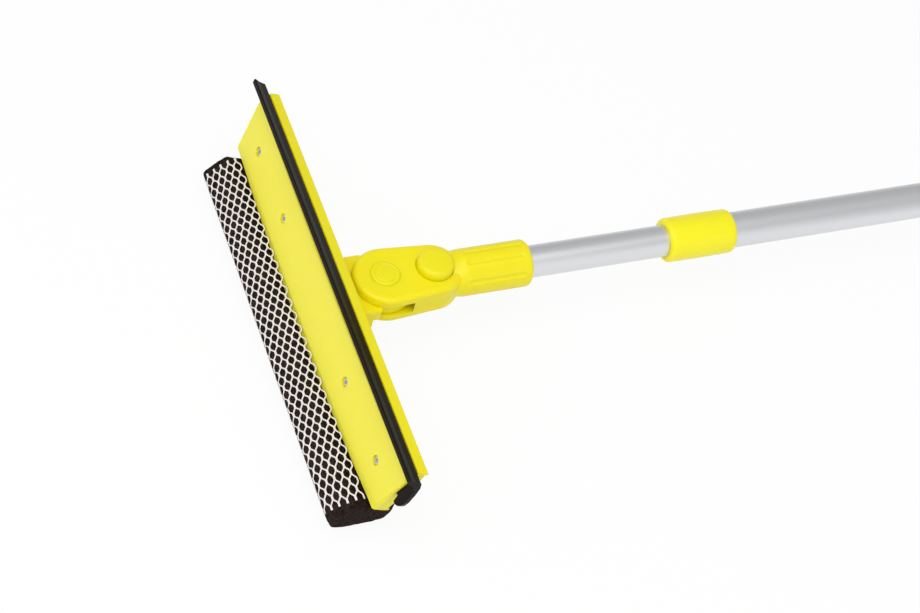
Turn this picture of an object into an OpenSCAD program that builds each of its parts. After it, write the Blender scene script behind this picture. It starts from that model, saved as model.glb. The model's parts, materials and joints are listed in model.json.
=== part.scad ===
// Window scrubber on a telescopic pole: a rubber blade and a netted sponge clamped
// in one swivelling head. X runs along the pole, Y along the head, Z is the swivel axis.

/* [Head] */
// Tilt of the clamped slab away from the swivel axis, in degrees
head_tilt = 20; // [10:1:28]
// Distance of the slab's face from the swivel axis, along the pole
slab_reach = 46.5; // [44:0.5:56]
// How far the screw line lies below the pole's axis
slab_drop = 3; // [0:0.5:6]

/* [Front plate] */
// Length of the plate's top edge
plate_len = 317; // [290:1:340]
// Height of the plate's top edge above the screw line
plate_up = 21.2; // [18:0.1:24]
// Depth of the plate's lower edge below the screw line
plate_down = 24.5; // [22:0.1:26]
// How much each end leans in over the plate's height
end_inset = 9; // [0:0.5:14]
// Wall of the plate
plate_wall = 2.4; // [1.8:0.1:3.2]
// Rise of the plate's bowed middle over its ends
plate_bow = 1.6; // [1:0.1:4]
// Rise of the lower edge from the middle to the ends
edge_arc = 4; // [1:0.1:6]
// Height of the shallow step along the plate's lower edge
step_up = 4; // [2:0.5:6]

/* [Head frame] */
// Depth of the frame from the plate's face to its back
frame_depth = 10; // [9.8:0.1:12]
// Wall of the frame
frame_wall = 2.2; // [1.6:0.1:3]
// Height of the back rim above the screw line
rim_up = 27.8; // [25:0.1:32]
// Width of the back rim
rim_w = 5.6; // [4:0.1:5.6]
// Depth of the frame's lower flange below the screw line
flange_down = 20; // [17:0.5:21]
// Pitch of the ribs inside the frame
rib_pitch = 22; // [14:1:40]
// Thickness of a rib
rib_w = 1.8; // [1.2:0.1:2.6]

/* [Clamp screws] */
// Distance of the inner screws from the middle
screw_in = 68.5; // [50:0.5:85]
// Distance of the outer screws from the middle
screw_out = 129; // [110:0.5:140]
// Radius of the screw's shank
screw_r = 1.5; // [1.2:0.1:2]
// Radius of the screw's head
screw_head_r = 2.7; // [2.4:0.1:3]
// Radius of the recess around the head
recess_r = 3.5; // [3.4:0.1:5.5]
// Depth of the recess
recess_depth = 2.2; // [1:0.1:2.4]

/* [Rubber blade] */
// Length of the blade
blade_len = 333; // [300:1:380]
// Thickness of the clamped strip
blade_t = 2.8; // [2.4:0.1:3.2]
// Height of the clamped strip's foot above the screw line
blade_foot = 4.4; // [4:0.1:7]
// Height of the wiping edge above the screw line
edge_up = 32; // [30:0.5:36]
// How far the wiping edge hooks forward of the strip
edge_hook = 9; // [6:0.5:11]
// Width of the blade's broad top
top_w = 9.6; // [8:0.1:11]
// Thickness of the blunt wiping lip
lip = 2.9; // [2:0.1:3.4]

/* [Sponge] */
// Length of the sponge
sponge_len = 288; // [270:1:310]
// Depth of the sponge, front to back
sponge_depth = 45; // [40:0.5:52]
// Height of the sponge
sponge_h = 29; // [25:0.5:34]
// Distance of the sponge's back from the swivel axis
sponge_back = 35; // [33:0.5:38]
// Thickness of the net over the sponge
net_t = 0.8; // [0.6:0.1:1.2]
// Bare foam past each end of the net
net_short = 1.5; // [1:0.5:10]
// Radius of the foam's upright corners
foam_corner = 3; // [2:0.5:9]

/* [Yoke] */
// Radius of the yoke's round ears
ear_r = 23.1; // [22:0.1:23.6]
// How far the centre of the round ears lies behind the swivel axis
ear_x = 1.7; // [1:0.1:2]
// Half of the yoke's thickness over both ears
yoke_half = 11.3; // [10.6:0.1:12]
// Half of the gap between the ears
gap_half = 4.7; // [4.2:0.1:5.2]
// Radius of the rounded edges of the yoke
yoke_edge = 3.4; // [1.5:0.1:3.6]
// Radius of the yoke's narrow end
neck_r = 20.3; // [19:0.1:21]
// Distance of the neck's centre from the swivel axis
neck_x = 33.5; // [32:0.5:36]
// Radius of the pole socket
socket_r = 16; // [15:0.1:18]
// Distance of the socket's mouth from the swivel axis
socket_end = 102.5; // [96:0.5:112]
// Depth of the tube in the socket
tube_seat = 42; // [34:0.5:44]
// Angle of the flutes nearest the top, from upright, in degrees
flute_top = 16; // [12:1:20]
// Angle of the flutes at the sides, from upright, in degrees
flute_side = 66; // [58:1:74]

/* [Swivel] */
// Radius of the pivot bolt
bolt_r = 4; // [3:0.1:4.6]
// Radial clearance of the bolt in the head's lug
bolt_play = 0.06; // [0.02:0.01:0.1]
// Radius of the bolt's head
bolt_head_r = 7; // [6:0.1:7.6]
// Height of the bolt's head
bolt_head_h = 2.6; // [2:0.1:2.8]
// Radius of the caps over the bolt and the nut
cap_r = 10; // [9.2:0.1:11]
// Height of the caps above the ears
cap_proud = 1; // [0.6:0.1:1.6]
// Radius of the lug's toothed crown
crown_r = 20.4; // [19.6:0.1:20.6]
// Angle between two click stops, in degrees
stop_step = 15; // [15:5:30]
// Width of the lug's shoulders, from the middle
shoulder_half = 24; // [23:0.1:24.4]
// Height of the pawl and of the teeth it meets
pawl_h = 3.4; // [3:0.1:3.6]

/* [Lock button] */
// Distance of the button from the swivel axis
button_x = 34.7; // [34:0.1:35.4]
// Radius of the button
button_r = 12.5; // [12:0.1:12.8]
// Height of the button above the pole's axis
button_top = 17.4; // [16.6:0.1:18.4]
// Wall of the button
button_wall = 1.8; // [1.4:0.1:2.2]
// Travel of the button
button_travel = 4.4; // [4.4:0.1:4.6]
// Gap around the button
button_gap = 0.3; // [0.2:0.05:0.4]
// Width of the lock pawl
pawl_w = 6; // [5:0.1:7]
// Wire of the button's spring
spring_wire = 0.8; // [0.5:0.1:1]
// Turns of the spring
spring_turns = 7; // [5:1:9]

/* [Pole] */
// Outer radius of the inner tube
inner_r = 11; // [10.4:0.1:11]
// Wall of the inner tube
inner_wall = 1; // [0.8:0.1:1.4]
// Bare stretch of inner tube between socket and collar
bare = 104; // [40:1:130]
// Outer radius of the outer tube
outer_r = 12.5; // [12.5:0.1:13]
// Wall of the outer tube
outer_wall = 1.2; // [1:0.05:1.2]
// Length of the outer tube
outer_len = 432; // [400:1:600]
// Radius of the collar
collar_r = 15.4; // [14.4:0.1:17]
// Length of the collar
collar_len = 51; // [44:0.5:60]
// Depth of the outer tube in the collar
collar_seat = 36; // [28:0.5:38]
// Radial clearance of sliding tubes and bushes
slide_play = 0.08; // [0.04:0.01:0.1]
// Gap between the inner tube's lock and the end cap, with the pole pushed in
end_room = 4; // [2:0.5:20]

/* [Grip and cap] */
// Length of the hand grip
grip_len = 118; // [90:1:140]
// Radius of the hand grip
grip_r = 15.6; // [14.6:0.1:17]
// Pitch of the grooves on the grip
groove_pitch = 8; // [6:0.5:12]
// Radius of the end cap
end_r = 14.2; // [13.4:0.1:16]
// Distance from the tube's end to the hanging hole
hole_reach = 16; // [15:0.5:20]
// Radius of the hanging hole
hole_r = 5; // [4:0.1:6]
// Half thickness of the cap's flat eye
eye_half = 4.5; // [3.5:0.1:6]

/* [Hidden] */
$fn = 64;

eps = 0.01;
yellow = [0.95, 0.88, 0.12];
pale_yellow = [0.94, 0.88, 0.36];
steel = [0.72, 0.73, 0.75];
tube_grey = [0.82, 0.83, 0.85];
rubber_black = [0.13, 0.12, 0.12];
foam_black = [0.08, 0.07, 0.07];

// Places that several pieces share
half_top = plate_len / 2;
plate_h = plate_up + plate_down;
corner_down = plate_down - edge_arc;
end_slope = end_inset / plate_h;
strip_back = plate_wall + blade_t;
land_up = 13;
land_down = 9;
screw_ys = [-screw_out, -screw_in, screw_in, screw_out];
foam_top = -slab_drop - plate_down * cos(head_tilt) + 3.8;
foam_base = foam_top - sponge_h;
floor_z = foam_base - net_t;
front_x = -sponge_back - sponge_depth;
lug_half = gap_half - 0.6;
crown_low = 0.1;
slot_r = shoulder_half + 2.5;
seat_r = ear_r + 0.7;
horn_x = -13;
swing = 45;
notch_w = min(pawl_w + 0.8, 2 * crown_r * sin(stop_step / 2) - 1.2);
nut_r = bolt_r * 1.75;
well_r = button_r + button_gap;
pawl_top = gap_half - 0.45;
pawl_low = pawl_top - pawl_h;
button_low = pawl_low - 3.6;
well_floor = button_low - button_travel - 0.25;
screw_head_h = 1.1;
collar_start = socket_end + bare;
collar_end = collar_start + collar_len;
tube_start = collar_end - collar_seat;
tube_end = tube_start + outer_len;
plug_len = 16;
plug_face = tube_end - plug_len;
outer_bore = outer_r - outer_wall;
cone_len = 20;
stop_len = 3;
inner_end = plug_face - bare - end_room - cone_len - stop_len - 2;
hole_x = tube_end + hole_reach;
pole_tip = hole_x + end_r - 1.4;
nose_x = min([for (p = sponge_points(-net_t)) p.x]);
mid_x = (pole_tip + nose_x) / 2;

// Puts the swivel axis where the whole object stands centred on its lowest face
module stand() {
    translate([-mid_x, 0, -floor_z]) children();
}

// Slab axes: x to the back, z up the tilted plate, origin on the screw line
module slab() {
    translate([-slab_reach, 0, -slab_drop]) rotate([0, head_tilt, 0]) children();
}

function unit(v) = v / norm(v);

// Arc that replaces the corner b between its neighbours a and c
function corner(a, b, c, r, n) =
    let (u = unit(a - b), w = unit(c - b), half = acos(u * w) / 2)
    let (p = b + u * r / tan(half), q = b + w * r / tan(half), m = b + unit(u + w) * r / sin(half))
    let (a0 = atan2(p.y - m.y, p.x - m.x), e = atan2(q.y - m.y, q.x - m.x) - a0)
    let (turn = e > 180 ? e - 360 : e < -180 ? e + 360 : e)
    [for (k = [0:n]) m + r * [cos(a0 + turn * k / n), sin(a0 + turn * k / n)]];

// Outline through the points, with the corner of point k rounded to radii[k]
function rounded(pts, radii, n = 6) = let (c = len(pts))
    [for (k = [0:c - 1]) each (radii[k] > 0
        ? corner(pts[(k + c - 1) % c], pts[k], pts[(k + 1) % c], radii[k], n) : [pts[k]])];

// Prism along Y of an outline given in x and z
module along_y(half_len) {
    rotate([90, 0, 0]) linear_extrude(2 * half_len, center = true) children();
}

// Solid that trims the frame's ends to the plate's lean
module end_trim() {
    reach = 60;
    top = half_top;
    low = top - (plate_up + reach) * end_slope;
    rotate([90, 0, 90]) linear_extrude(2 * reach, center = true)
        polygon([[-low, -reach], [low, -reach], [top, plate_up], [top, rim_up + 8],
            [-top, rim_up + 8], [-top, plate_up]]);
}

// Where the bowed face lies at a distance from the middle
function skin_x(y) = -plate_bow + plate_bow * y * y / (half_top * half_top);

// Plan of a bowed skin between two depths behind the face
module bowed(t0, t1) {
    n = 16;
    ys = [for (k = [-n:n]) k * (half_top + 1) / n];
    polygon(concat([for (y = ys) [skin_x(y) + t0, y]],
        [for (k = [2 * n:-1:0]) [skin_x(ys[k]) + t1, ys[k]]]));
}

// Plan between the bowed skin and the flat back of the plate
module behind_bow() {
    n = 16;
    ys = [for (k = [-n:n]) k * (half_top - 14) / n];
    polygon(concat([for (y = ys) [skin_x(y) + 0.8, y]],
        [[plate_wall, half_top - 14], [plate_wall, 14 - half_top]]));
}

// Face outline: straight top, leaning ends, arched lower edge and rounded corners
module plate_outline(inset, lift) {
    top = half_top - inset;
    base = -corner_down + lift + inset;
    low = half_top - (corner_down - lift + plate_up) * end_slope - inset;
    n = 12;
    r = 3;
    arc = [for (k = [-n:n]) [k * (low - 5) / n, base - edge_arc + edge_arc * k * k / (n * n)]];
    polygon(concat(corner([-low + 14, base - 0.7], [-low, base], [-top, plate_up - inset], r, 6),
        [[-top, plate_up - inset - 2.5], [-top + 2, plate_up - inset],
        [top - 2, plate_up - inset], [top, plate_up - inset - 2.5]],
        corner([top, plate_up - inset], [low, base], [low - 14, base - 0.7], r, 6),
        [for (k = [2 * n:-1:0]) arc[k]]));
}

// One layer of the plate between two depths behind its face
module layer(t0, inset, lift) {
    intersection() {
        translate([0, 0, -60]) linear_extrude(120) bowed(t0, plate_wall);
        rotate([90, 0, 90]) linear_extrude(40, center = true) plate_outline(inset, lift);
    }
}

module front_plate() {
    color(pale_yellow) stand() slab() difference() {
        union() {
            layer(0.7, 0, 0);
            layer(0.4, 0.6, 0);
            layer(0, 0.9, step_up);
            translate([0, 0, -land_down]) linear_extrude(land_up + land_down) behind_bow();
        }
        for (y = screw_ys) translate([skin_x(y), y, 0]) rotate([0, 90, 0]) {
            translate([0, 0, -2]) cylinder(h = recess_depth + 2, r = recess_r);
            cylinder(h = 12, r = screw_r + 0.3);
        }
    }
}

module clamp_screws() {
    color(steel) stand() slab() for (y = screw_ys)
        translate([skin_x(y) + recess_depth, y, 0]) rotate([0, 90, 0]) {
            difference() {
                translate([0, 0, -screw_head_h])
                    cylinder(h = screw_head_h, r1 = screw_head_r * 0.86, r2 = screw_head_r);
                for (a = [0, 90]) rotate([0, 0, a])
                    translate([-0.35, -screw_head_r * 0.6, -screw_head_h - 0.1])
                        cube([0.7, screw_head_r * 1.2, 0.8]);
            }
            cylinder(h = frame_depth - 1.4 - skin_x(y) - recess_depth, r = screw_r);
        }
}

// Channel section of the frame: rim on top, back wall and lower flange
module frame_section() {
    back = frame_depth;
    polygon(rounded([[back, -flange_down], [back, rim_up], [back - rim_w, rim_up],
        [back - rim_w, rim_up - 3.4], [back - frame_wall, rim_up - 5],
        [back - frame_wall, -flange_down + frame_wall], [strip_back, -flange_down + frame_wall],
        [strip_back, -flange_down]],
        [1.6, 1.4, 1, 0.6, 0.8, 0.6, 0, 0.8]));
}

module frame_ribs() {
    ribs = floor((half_top - 10) / rib_pitch);
    for (k = [-ribs:ribs]) translate([strip_back, k * rib_pitch - rib_w / 2, -flange_down + 1])
        cube([frame_depth - strip_back - 1, rib_w, flange_down + land_up - 1]);
}

module frame_shell() {
    intersection() {
        union() {
            along_y(half_top + 6) frame_section();
            translate([strip_back, -half_top, land_up - 3])
                cube([frame_depth - strip_back - 1, plate_len, 3]);
            translate([strip_back, -half_top, -3.4 - 2.4])
                cube([frame_depth - strip_back - 1, plate_len, 2.4]);
            frame_ribs();
            end_wall();
            mirror([0, 1, 0]) end_wall();
            for (y = screw_ys) translate([plate_wall, y, 0]) rotate([0, 90, 0])
                cylinder(h = frame_depth - plate_wall - 1, r = screw_r + 2.1);
        }
        end_trim();
    }
}

// Wall that closes each end of the channel, leaning like the end itself
module end_wall() {
    low = half_top - (plate_up + flange_down) * end_slope;
    top = half_top - (plate_up - land_up) * end_slope;
    translate([strip_back, 0, 0]) rotate([90, 0, 90]) linear_extrude(frame_depth - strip_back - 1)
        polygon([[low, -flange_down], [top, land_up], [top - frame_wall, land_up],
            [low - frame_wall, -flange_down]]);
}

// Plan of the block behind the slab, up to x = tip
module block_plan(tip, wide, r) {
    polygon(rounded([[-slab_reach + 4, -wide - 3], [-32, -wide], [tip, -wide], [tip, wide],
        [-32, wide], [-slab_reach + 4, wide + 3]], [0, 8, r, r, 8, 0]));
}

// Lug: a flat tongue between the yoke's ears, thickened towards the slab
module lug() {
    translate([0, 0, -lug_half]) linear_extrude(2 * lug_half)
        block_plan(-8, shoulder_half, 2.4);
    translate([0, 0, lug_half - 1]) linear_extrude(yoke_half - lug_half)
        block_plan(-seat_r - 0.3, shoulder_half - 5, 3);
    difference() {
        translate([0, 0, -yoke_half]) linear_extrude(yoke_half) block_plan(horn_x, shoulder_half, 1.4);
        translate([0, 0, -lug_half - 20]) cylinder(h = 20, r = seat_r);
    }
    crown();
}

// Toothed crown, relieved under its teeth where the released pawl passes
module crown() {
    side = swing + 12;
    difference() {
        translate([0, 0, -lug_half]) cylinder(h = 2 * lug_half, r = crown_r);
        difference() {
            translate([0, 0, -lug_half - 1]) linear_extrude(lug_half + 1 + crown_low)
                polygon([[0, 0], 40 * [cos(side), -sin(side)], [60, 0], 40 * [cos(side), sin(side)]]);
            translate([0, 0, -lug_half - 2]) cylinder(h = 2 * lug_half, r = crown_r - 2.4);
        }
    }
}

module lug_notches() {
    stops = floor(swing / stop_step);
    for (k = [-stops:stops]) rotate([0, 0, k * stop_step])
        translate([crown_r - 2, -notch_w / 2, -lug_half - 1]) cube([6, notch_w, 2 * lug_half + 2]);
}

module head_frame() {
    color(yellow) stand() difference() {
        union() {
            slab() frame_shell();
            difference() {
                lug();
                slab() translate([-60 + frame_depth - 1, -60, -60]) cube([60, 120, 120]);
            }
        }
        slab() for (y = screw_ys) translate([plate_wall - 1, y, 0]) rotate([0, 90, 0])
            cylinder(h = frame_depth - plate_wall - 0.4, r = screw_r);
        translate([0, 0, -20]) cylinder(h = 40, r = bolt_r + bolt_play);
        lug_notches();
    }
}

// Blade section: a clamped strip that swells into a broad top hooked forward to a blunt lip
module blade_section() {
    f = plate_wall;
    b = strip_back;
    edge = [f - edge_hook, edge_up];
    heel = edge + top_w * [cos(21), -sin(21)];
    front = f - 2.4;
    polygon(rounded([[f, blade_foot], [b, blade_foot], [b, land_up], [b + 0.2, 16], [b - 0.5, 22.9],
        heel, (edge + heel) / 2 - [0.2, 0.8], edge, edge + [0.2, -lip], [front, plate_up + 2.6],
        [front, plate_up], [f, plate_up]],
        [0.6, 0.6, 2, 4, 5, 0.7, 10, 0.5, 0.6, 3, 0, 0], 5));
}

// Side view of the blade: the strip stops at the plate on one side and runs on at the other
module blade_side() {
    half = blade_len / 2;
    polygon(rounded([[-half, blade_foot], [half_top, blade_foot], [half_top, plate_up + 0.8],
        [half, plate_up + 0.8], [half, edge_up + 2], [-half, edge_up + 2]], [4, 0, 0, 0, 0, 0]));
}

module squeegee_blade() {
    color(rubber_black) stand() slab() intersection() {
        along_y(blade_len / 2) blade_section();
        rotate([90, 0, 90]) linear_extrude(60, center = true) blade_side();
    }
}

// Sponge section, with the inset d that leaves room for the net around it
function sponge_points(d) =
    let (back = -sponge_back - d, front = front_x + d, base = foam_base + d, top = foam_top - d)
    let (w = sponge_depth, h = sponge_h, r = sponge_h / 7.25)
    rounded([[front, top - 0.39 * h], [front + 0.144 * w, base + 0.076 * h], [front + 0.311 * w, base],
        [back - 0.244 * w, base], [back - 0.067 * w, base + 0.069 * h], [back, base + 0.345 * h],
        [back, top - 0.207 * h], [back - 0.111 * w, top - 0.01 * h], [front + 0.422 * w, top],
        [front + 0.222 * w, top - 0.138 * h]],
        [r, r, 2 * r, 2 * r, r, 1.25 * r, 1.25 * r, r, 1.25 * r, 1.5 * r]);

module sponge_section(d) {
    polygon(sponge_points(d));
}

// Plan outline that rounds the sponge's ends
module sponge_plan(half_len, r) {
    linear_extrude(200, center = true) polygon(rounded([[front_x - 1, -half_len],
        [-sponge_back + 1, -half_len], [-sponge_back + 1, half_len], [front_x - 1, half_len]],
        [r, r, r, r]));
}

// Space of the plate and the frame, which the foam and the net stay clear of
module slab_space() {
    slab() {
        translate([-8, -200, -plate_down - 0.1]) cube([8 + strip_back, 400, 80]);
        translate([0, -200, -flange_down - 0.1]) cube([60, 400, 80]);
    }
}

// Thin edge of the sponge, pinched between the plate and the frame
module pinched(half_len) {
    slab() translate([plate_wall, -half_len, -plate_down - 4])
        cube([blade_t, 2 * half_len, plate_down + 4 - land_down - 0.6]);
}

module sponge() {
    color(foam_black) stand() {
        difference() {
            intersection() {
                along_y(sponge_len / 2) sponge_section(0);
                sponge_plan(sponge_len / 2, foam_corner);
            }
            slab_space();
        }
        difference() {
            pinched(sponge_len / 2 - foam_corner - 6);
            translate([-100, -200, foam_base - 50]) cube([200, 400, 50 + sponge_h / 2]);
        }
    }
}

module sponge_net() {
    color([0.92, 0.92, 0.9]) stand() difference() {
        along_y(sponge_len / 2 - net_short) sponge_section(-net_t);
        along_y(sponge_len / 2) sponge_section(0);
        slab_space();
        pinched(sponge_len / 2);
        slab() translate([0, -200, -flange_down - 2]) cube([frame_depth, 400, 20]);
    }
}

// Disc with rounded rims, as used at both ends of the yoke
module pill(r, half) {
    e = yoke_edge;
    rotate_extrude($fn = 48) polygon(rounded([[0, -half], [r, -half], [r, half], [0, half]],
        [0, e, e, 0], 4));
}

module yoke_body() {
    hull() {
        translate([ear_x, 0, 0]) pill(ear_r, yoke_half);
        translate([neck_x, 0, 0]) pill(neck_r, yoke_half);
    }
    hull() {
        translate([neck_x + 7, 0, 0]) rotate([0, 90, 0]) linear_extrude(1)
            polygon([for (a = [0:7.5:352.5]) [(yoke_half - 0.4) * cos(a), socket_r * sin(a)]]);
        translate([neck_x + 21, 0, 0]) rotate([0, 90, 0]) cylinder(h = 1, r = socket_r, $fn = 48);
    }
    translate([neck_x + 21, 0, 0]) rotate([0, 90, 0]) rotate_extrude() polygon(rounded([[0, 0],
        [socket_r, 0], [socket_r, socket_end - neck_x - 21], [0, socket_end - neck_x - 21]],
        [0, 0, 2.8, 0]));
}

module flute_cuts() {
    run = socket_end - neck_x - 31;
    for (a = [flute_top, flute_side, 180 - flute_side, 180 - flute_top]) for (s = [-1, 1])
        rotate([s * a, 0, 0]) translate([neck_x + 24, 0, socket_r + 2.3]) {
            rotate([0, 90, 0]) cylinder(h = run, r = 3);
            sphere(r = 3);
            translate([run, 0, 0]) sphere(r = 3);
        }
}

module yoke() {
    color(yellow) stand() difference() {
        yoke_body();
        translate([0, 0, -gap_half]) cylinder(h = 2 * gap_half, r = slot_r);
        translate([-60, -60, -gap_half]) cube([60, 120, 2 * gap_half]);
        translate([0, 0, -20]) cylinder(h = 40, r = bolt_r);
        translate([0, 0, yoke_half - bolt_head_h - 1.2]) cylinder(h = 10, r = cap_r);
        translate([0, 0, -yoke_half - 6.2 + bolt_head_h]) cylinder(h = 7.4 - 1.6, r = cap_r);
        translate([0, 0, -yoke_half + bolt_head_h - 3]) cylinder(h = 3.9, r = nut_r, $fn = 6);
        translate([button_x, 0, well_floor]) cylinder(h = 30, r = well_r);
        translate([socket_end - tube_seat, 0, 0]) rotate([0, 90, 0]) cylinder(h = 60, r = inner_r);
        translate([socket_end - tube_seat / 2, 0, -socket_r - 1]) {
            cylinder(h = 10, r = 1.6);
            cylinder(h = 3.2, r = 3.6);
        }
        flute_cuts();
    }
}
module pivot_bolt() {
    z_head = yoke_half - bolt_head_h - 0.6;
    color(steel) stand() difference() {
        union() {
            translate([0, 0, -yoke_half + 0.6]) cylinder(h = z_head + yoke_half - 0.6 + 0.5, r = bolt_r);
            translate([0, 0, z_head]) cylinder(h = bolt_head_h, r = bolt_head_r);
        }
        translate([0, 0, z_head + 1]) cylinder(h = 4, r = 2.9, $fn = 6);
    }
}

module spring_washer() {
    color(steel) stand() translate([0, 0, yoke_half - bolt_head_h - 1.2]) difference() {
        cylinder(h = 0.6, r = bolt_head_r - 0.4);
        translate([0, 0, -1]) cylinder(h = 3, r = bolt_r);
    }
}

module pivot_nut() {
    color(steel) stand() translate([0, 0, -yoke_half + bolt_head_h - 1.9]) difference() {
        cylinder(h = 2.8, r = nut_r, $fn = 6);
        translate([0, 0, -1]) cylinder(h = 6, r = bolt_r);
    }
}

// Snap cap: a domed disc with a rim that drops into the ear's counterbore
module snap_cap() {
    top = cap_proud + 1.7;
    rotate_extrude() polygon(rounded([[0, 0.6], [cap_r - 1.2, 0.6], [cap_r - 1.2, 0],
        [cap_r, 0], [cap_r, top - 0.3], [cap_r * 0.76, top], [cap_r * 0.71, top - 0.5],
        [cap_r * 0.66, top], [0, top + 0.4]], [0, 0, 0, 0, 1.2, 0.3, 0.3, 0.3, 0]));
}

module pivot_cap() {
    color(yellow) stand() translate([0, 0, yoke_half - 1.2]) snap_cap_on();
}

module snap_cap_on() {
    difference() {
        snap_cap();
        translate([0, 0, -1]) cylinder(h = 1.65, r = bolt_head_r + 1);
    }
}

module nut_cap() {
    color(yellow) stand() mirror([0, 0, 1]) translate([0, 0, yoke_half - 1.2]) snap_cap_on();
}

module friction_washers() {
    color([0.9, 0.9, 0.88]) stand() for (s = [0, 1]) mirror([0, 0, s])
        translate([0, 0, lug_half + 0.05]) difference() {
            cylinder(h = gap_half - lug_half - 0.1, r = 15);
            translate([0, 0, -1]) cylinder(h = 3, r = bolt_r + 0.2);
        }
}

module lock_button() {
    low = button_low;
    color(yellow) stand() translate([button_x, 0, 0]) difference() {
        rotate_extrude() polygon(rounded([[0, low], [button_r, low], [button_r, button_top],
            [0, button_top + 0.6]], [0, 0, 3.6, 0]));
        translate([0, 0, low - 1]) cylinder(h = button_top - low - 1.4, r = button_r - button_wall);
        translate([-button_r - 1, -pawl_w / 2, pawl_low])
            cube([button_wall + 3, pawl_w, pawl_top - pawl_low]);
    }
    color(yellow) stand() translate([button_x, 0, 2]) cylinder(h = button_top - 3, r = 3.4);
}

// Pawl that sits in the button's wall and faces the crown of the lug
module lock_pawl() {
    tip = crown_r + 0.3;
    nose = notch_w / 2 - 0.3;
    wide = pawl_w / 2;
    color(steel) stand() translate([0, 0, pawl_low]) linear_extrude(pawl_top - pawl_low)
        polygon(rounded([[tip, -nose + 0.3], [tip + 1.3, -nose], [tip + 1.6, -wide],
            [button_x - 7.6, -wide], [button_x - 7.6, wide], [tip + 1.6, wide], [tip + 1.3, nose],
            [tip, nose - 0.3]], [0.4, 0, 0, 0, 0, 0, 0, 0.4]));
}

// Compression spring: one wire swept along a helix
module lock_spring() {
    mean_r = 5.2;
    height = button_top - 1.4 - well_floor - 1 - spring_wire;
    per_turn = 14;
    sides = 6;
    steps = spring_turns * per_turn;
    ring = [for (k = [0:steps]) for (s = [0:sides - 1])
        let (a = 360 * k / per_turn, b = 360 * s / sides, q = mean_r + spring_wire / 2 * cos(b))
        [q * cos(a), q * sin(a), spring_wire / 2 + height * k / steps + spring_wire / 2 * sin(b)]];
    skin = [for (k = [0:steps - 1]) for (s = [0:sides - 1])
        [k * sides + s, k * sides + (s + 1) % sides, (k + 1) * sides + (s + 1) % sides,
            (k + 1) * sides + s]];
    ends = [[for (s = [sides - 1:-1:0]) s], [for (s = [0:sides - 1]) steps * sides + s]];
    color(steel) stand() translate([button_x, 0, well_floor])
        polyhedron(points = ring, faces = concat(skin, ends));
}

module pipe(x0, x1, r, bore) {
    translate([x0, 0, 0]) rotate([0, 90, 0]) difference() {
        cylinder(h = x1 - x0, r = r);
        translate([0, 0, -1]) cylinder(h = x1 - x0 + 2, r = bore);
    }
}

module inner_tube() {
    color(tube_grey) stand() difference() {
        pipe(socket_end - tube_seat, inner_end, inner_r, inner_r - inner_wall);
        translate([socket_end - tube_seat / 2, 0, -inner_r - 2]) cylinder(h = 6, r = 1.6);
    }
}

module socket_screw() {
    color(steel) stand() translate([socket_end - tube_seat / 2, 0, -socket_r + 0.6]) {
        cylinder(h = socket_r - inner_r + 2.4, r = 1.6);
        difference() {
            cylinder(h = 1.6, r = 3.2);
            for (a = [0, 90]) rotate([0, 0, a]) translate([-1.9, -0.35, -1]) cube([3.8, 0.7, 1.8]);
        }
    }
}

// Cone on the inner tube's end; turning the pole draws the ring up the cone
module lock_cone() {
    r = inner_r - inner_wall;
    color([0.2, 0.2, 0.2]) stand() translate([inner_end, 0, 0]) rotate([0, 90, 0]) difference() {
        union() {
            translate([0, 0, -22]) cylinder(h = 22, r = r);
            cylinder(h = 1.6, r = inner_r);
            translate([0, 0, 1.6]) cylinder(h = cone_len - 1.6, r1 = 5.4, r2 = 7.6);
        }
        translate([0, 0, 2]) cylinder(h = cone_len, r = 1.8);
    }
}

module lock_ring() {
    color([0.85, 0.85, 0.83]) stand() translate([inner_end + 2, 0, 0]) rotate([0, 90, 0]) difference() {
        cylinder(h = cone_len - 2.6, r = outer_bore - slide_play);
        translate([0, 0, -1]) cylinder(h = cone_len, r1 = 5.4 + 0.3, r2 = 7.6 + 0.5);
        translate([0, -1.2, -1]) cube([20, 2.4, cone_len + 2]);
        for (z = [4, 9, 14]) translate([0, 0, z]) difference() {
            cylinder(h = 1.2, r = 20);
            translate([0, 0, -1]) cylinder(h = 4, r = outer_bore - slide_play - 0.7);
        }
    }
}

module cone_screw() {
    color(steel) stand() translate([inner_end + cone_len, 0, 0]) rotate([0, 90, 0]) {
        cylinder(h = 0.8, r = 9.4);
        translate([0, 0, 0.8]) cylinder(h = 1.8, r = 3.4);
        translate([0, 0, -12]) cylinder(h = 13, r = 1.8);
    }
}

module outer_tube() {
    color(tube_grey) stand() pipe(tube_start, tube_end, outer_r, outer_bore);
}

// Collar: holds the outer tube on its seat and guides the inner tube in its nose
module pole_collar() {
    color(yellow) stand() translate([collar_start, 0, 0]) rotate([0, 90, 0]) difference() {
        rotate_extrude() polygon(rounded([[0, 0], [collar_r, 0], [collar_r + 0.25, collar_len / 2],
            [collar_r, collar_len], [0, collar_len]], [0, 3, 0, 3, 0]));
        translate([0, 0, -1]) cylinder(h = collar_len + 2, r = inner_r + slide_play);
        translate([0, 0, collar_len - collar_seat]) cylinder(h = collar_len, r = outer_r);
    }
}

module hand_grip() {
    start = tube_end - grip_len - 2;
    bumps = floor((grip_len - 24) / groove_pitch);
    color(rubber_black) stand() translate([start, 0, 0]) rotate([0, 90, 0]) difference() {
        rotate_extrude() polygon(rounded([[0, 0], [grip_r - 1, 0], [grip_r, 12], [grip_r, grip_len - 6],
            [grip_r - 0.6, grip_len], [0, grip_len]], [0, 2.4, 10, 4, 1.6, 0]));
        translate([0, 0, -1]) cylinder(h = grip_len + 2, r = outer_r);
        for (k = [0:bumps]) translate([0, 0, 12 + k * groove_pitch]) rotate_extrude()
            translate([grip_r + 1, 0]) circle(r = 1.9, $fn = 20);
    }
}

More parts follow.
